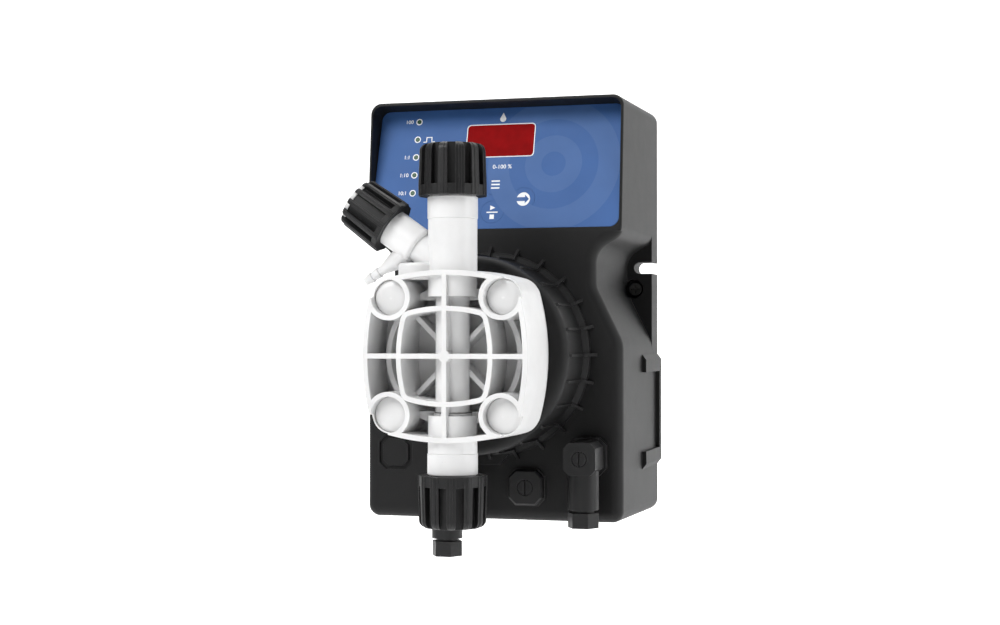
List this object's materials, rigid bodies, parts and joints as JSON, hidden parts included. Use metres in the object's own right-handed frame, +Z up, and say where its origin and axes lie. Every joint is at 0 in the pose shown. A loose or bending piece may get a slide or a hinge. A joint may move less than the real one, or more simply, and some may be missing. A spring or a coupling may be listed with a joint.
{
  "type": "diaphragm metering pump",
  "caption": "Wall-mounted dosing pump with a black electronic casing, control panel, ribbed white pump head, hose valves, vent valve and cable connectors.",
  "frame": {"origin": "centre of the flat wall face of the casing's rear cover", "axes": "+Y into the wall, +Z up along the valves, +X to the right of someone who faces the control panel"},
  "size_m": [0.1304, 0.1683, 0.2191],
  "materials": {
    "casing_black": "satin moulded plastic with a fine texture",
    "cover_black": "satin moulded plastic",
    "panel_blue": "printed sheet with a low gloss",
    "key_print": "printed sheet with a low gloss",
    "display_red": "clear red plastic over a dark display",
    "display_dark": "dark moulded display block",
    "lamp_green": "clear green lens",
    "board_green": "glass-fibre circuit board",
    "component_dark": "moulded electronic components",
    "switch_black": "moulded switch bodies",
    "steel": "machined steel",
    "screw_steel": "plain steel screws",
    "bronze": "sintered bronze bush",
    "copper": "enamelled copper winding",
    "bobbin_plastic": "natural moulded bobbin",
    "head_white": "white semi-gloss moulded plastic",
    "valve_white": "white semi-gloss moulded plastic",
    "cap_white": "white semi-gloss moulded plastic",
    "nut_black": "satin black moulded plastic",
    "connector_black": "satin black moulded plastic",
    "ceramic": "polished ceramic ball",
    "diaphragm_white": "fluoropolymer-faced rubber",
    "rubber_black": "black seal rubber"
  },
  "bodies": {
    "housing": {"casing": "casing_black", "rear_cover": "cover_black", "rear_cover_gasket": "rubber_black", "rear_cover_screws": "screw_steel", "ear_screws": "screw_steel", "panel_overlay": "panel_blue", "display_window": "display_red", "display_module": "display_dark", "status_leds": "lamp_green", "key_switches": "switch_black", "control_board": "board_green", "board_screws": "screw_steel", "board_components": "component_dark", "power_board": "board_green", "power_components": "component_dark", "magnet_yoke": "steel", "magnet_rear_plate": "steel", "magnet_core": "steel", "shaft_bush": "bronze", "coil_bobbin": "bobbin_plastic", "coil_winding": "copper", "plunger_buffer": "rubber_black", "return_spring": "screw_steel", "head_backplate": "head_white", "diaphragm": "diaphragm_white", "pump_head": "head_white", "head_screws": "screw_steel", "head_washers": "screw_steel", "screw_caps": "cap_white", "valve_rings": "rubber_black", "discharge_valve_body": "valve_white", "discharge_seat": "rubber_black", "discharge_ball_guide": "valve_white", "discharge_hose_cone": "valve_white", "suction_valve_body": "valve_white", "suction_seat": "rubber_black", "suction_ball_guide": "valve_white", "suction_hose_cone": "valve_white", "vent_valve_body": "valve_white", "connector_sockets": "connector_black", "connector_seals": "rubber_black", "connector_housings": "connector_black", "gland_nuts": "connector_black", "connector_screws": "connector_black", "blank_plug": "connector_black"},
    "drive": {"plunger": "steel", "diaphragm_core": "diaphragm_white"},
    "discharge_ball_body": {"discharge_ball": "ceramic"},
    "suction_ball_body": {"suction_ball": "ceramic"},
    "discharge_ferrule_body": {"discharge_ferrule": "valve_white"},
    "discharge_nut_body": {"discharge_nut": "nut_black"},
    "suction_ferrule_body": {"suction_ferrule": "valve_white"},
    "suction_nut_body": {"suction_nut": "nut_black"},
    "vent_needle_body": {"vent_needle": "valve_white"},
    "vent_knob_body": {"vent_knob": "nut_black", "knob_cap": "cap_white"},
    "key_f_body": {"key_f": "key_print"},
    "key_start_stop_body": {"key_start_stop": "key_print"},
    "key_next_body": {"key_next": "key_print"}
  },
  "joints": [
    {"name": "stroke", "type": "slide", "parent": "housing", "child": "drive", "axis": [0, -1, 0], "range_m": [0, 0.00125], "stiffness_N_per_m": 2500, "springref_m": -0.001, "deforming": ["return_spring"]},
    {"name": "discharge_ball_lift", "type": "slide", "parent": "housing", "child": "discharge_ball_body", "axis": [0, 0, 1], "range_m": [0, 0.0015]},
    {"name": "suction_ball_lift", "type": "slide", "parent": "housing", "child": "suction_ball_body", "axis": [0, 0, 1], "range_m": [0, 0.0015]},
    {"name": "discharge_ferrule_slide", "type": "slide", "parent": "housing", "child": "discharge_ferrule_body", "axis": [0, 0, 1], "range_m": [0, 0.006]},
    {"name": "discharge_nut_turn", "type": "hinge", "parent": "discharge_ferrule_body", "child": "discharge_nut_body", "pos_m": [0, -0.153, 0.06], "axis": [0, 0, 1], "range_deg": [0, 1080]},
    {"name": "suction_ferrule_slide", "type": "slide", "parent": "housing", "child": "suction_ferrule_body", "axis": [0, 0, -1], "range_m": [0, 0.006]},
    {"name": "suction_nut_turn", "type": "hinge", "parent": "suction_ferrule_body", "child": "suction_nut_body", "pos_m": [0, -0.153, -0.09], "axis": [0, 0, -1], "range_deg": [0, 1080]},
    {"name": "vent_needle_slide", "type": "slide", "parent": "housing", "child": "vent_needle_body", "axis": [-0.8141, 0, 0.5807], "range_m": [0, 0.0015]},
    {"name": "vent_knob_turn", "type": "hinge", "parent": "vent_needle_body", "child": "vent_knob_body", "pos_m": [-0.03664, -0.153, 0.04103], "axis": [-0.8141, 0, 0.5807], "range_deg": [0, 360]},
    {"name": "key_f_press", "type": "slide", "parent": "housing", "child": "key_f_body", "axis": [0, 0.9613, -0.2756], "range_m": [0, 0.00035], "stiffness_N_per_m": 800, "springref_m": -0.0002},
    {"name": "key_start_stop_press", "type": "slide", "parent": "housing", "child": "key_start_stop_body", "axis": [0, 0.9613, -0.2756], "range_m": [0, 0.00035], "stiffness_N_per_m": 800, "springref_m": -0.0002},
    {"name": "key_next_press", "type": "slide", "parent": "housing", "child": "key_next_body", "axis": [0, 0.9613, -0.2756], "range_m": [0, 0.00035], "stiffness_N_per_m": 800, "springref_m": -0.0002}
  ],
  "couplings": [
    {"joint": "discharge_ferrule_slide", "follows": "discharge_nut_turn", "m_per_rad": 0.0003183},
    {"joint": "suction_ferrule_slide", "follows": "suction_nut_turn", "m_per_rad": 0.0003183},
    {"joint": "vent_needle_slide", "follows": "vent_knob_turn", "m_per_rad": 0.0002387}
  ]
}
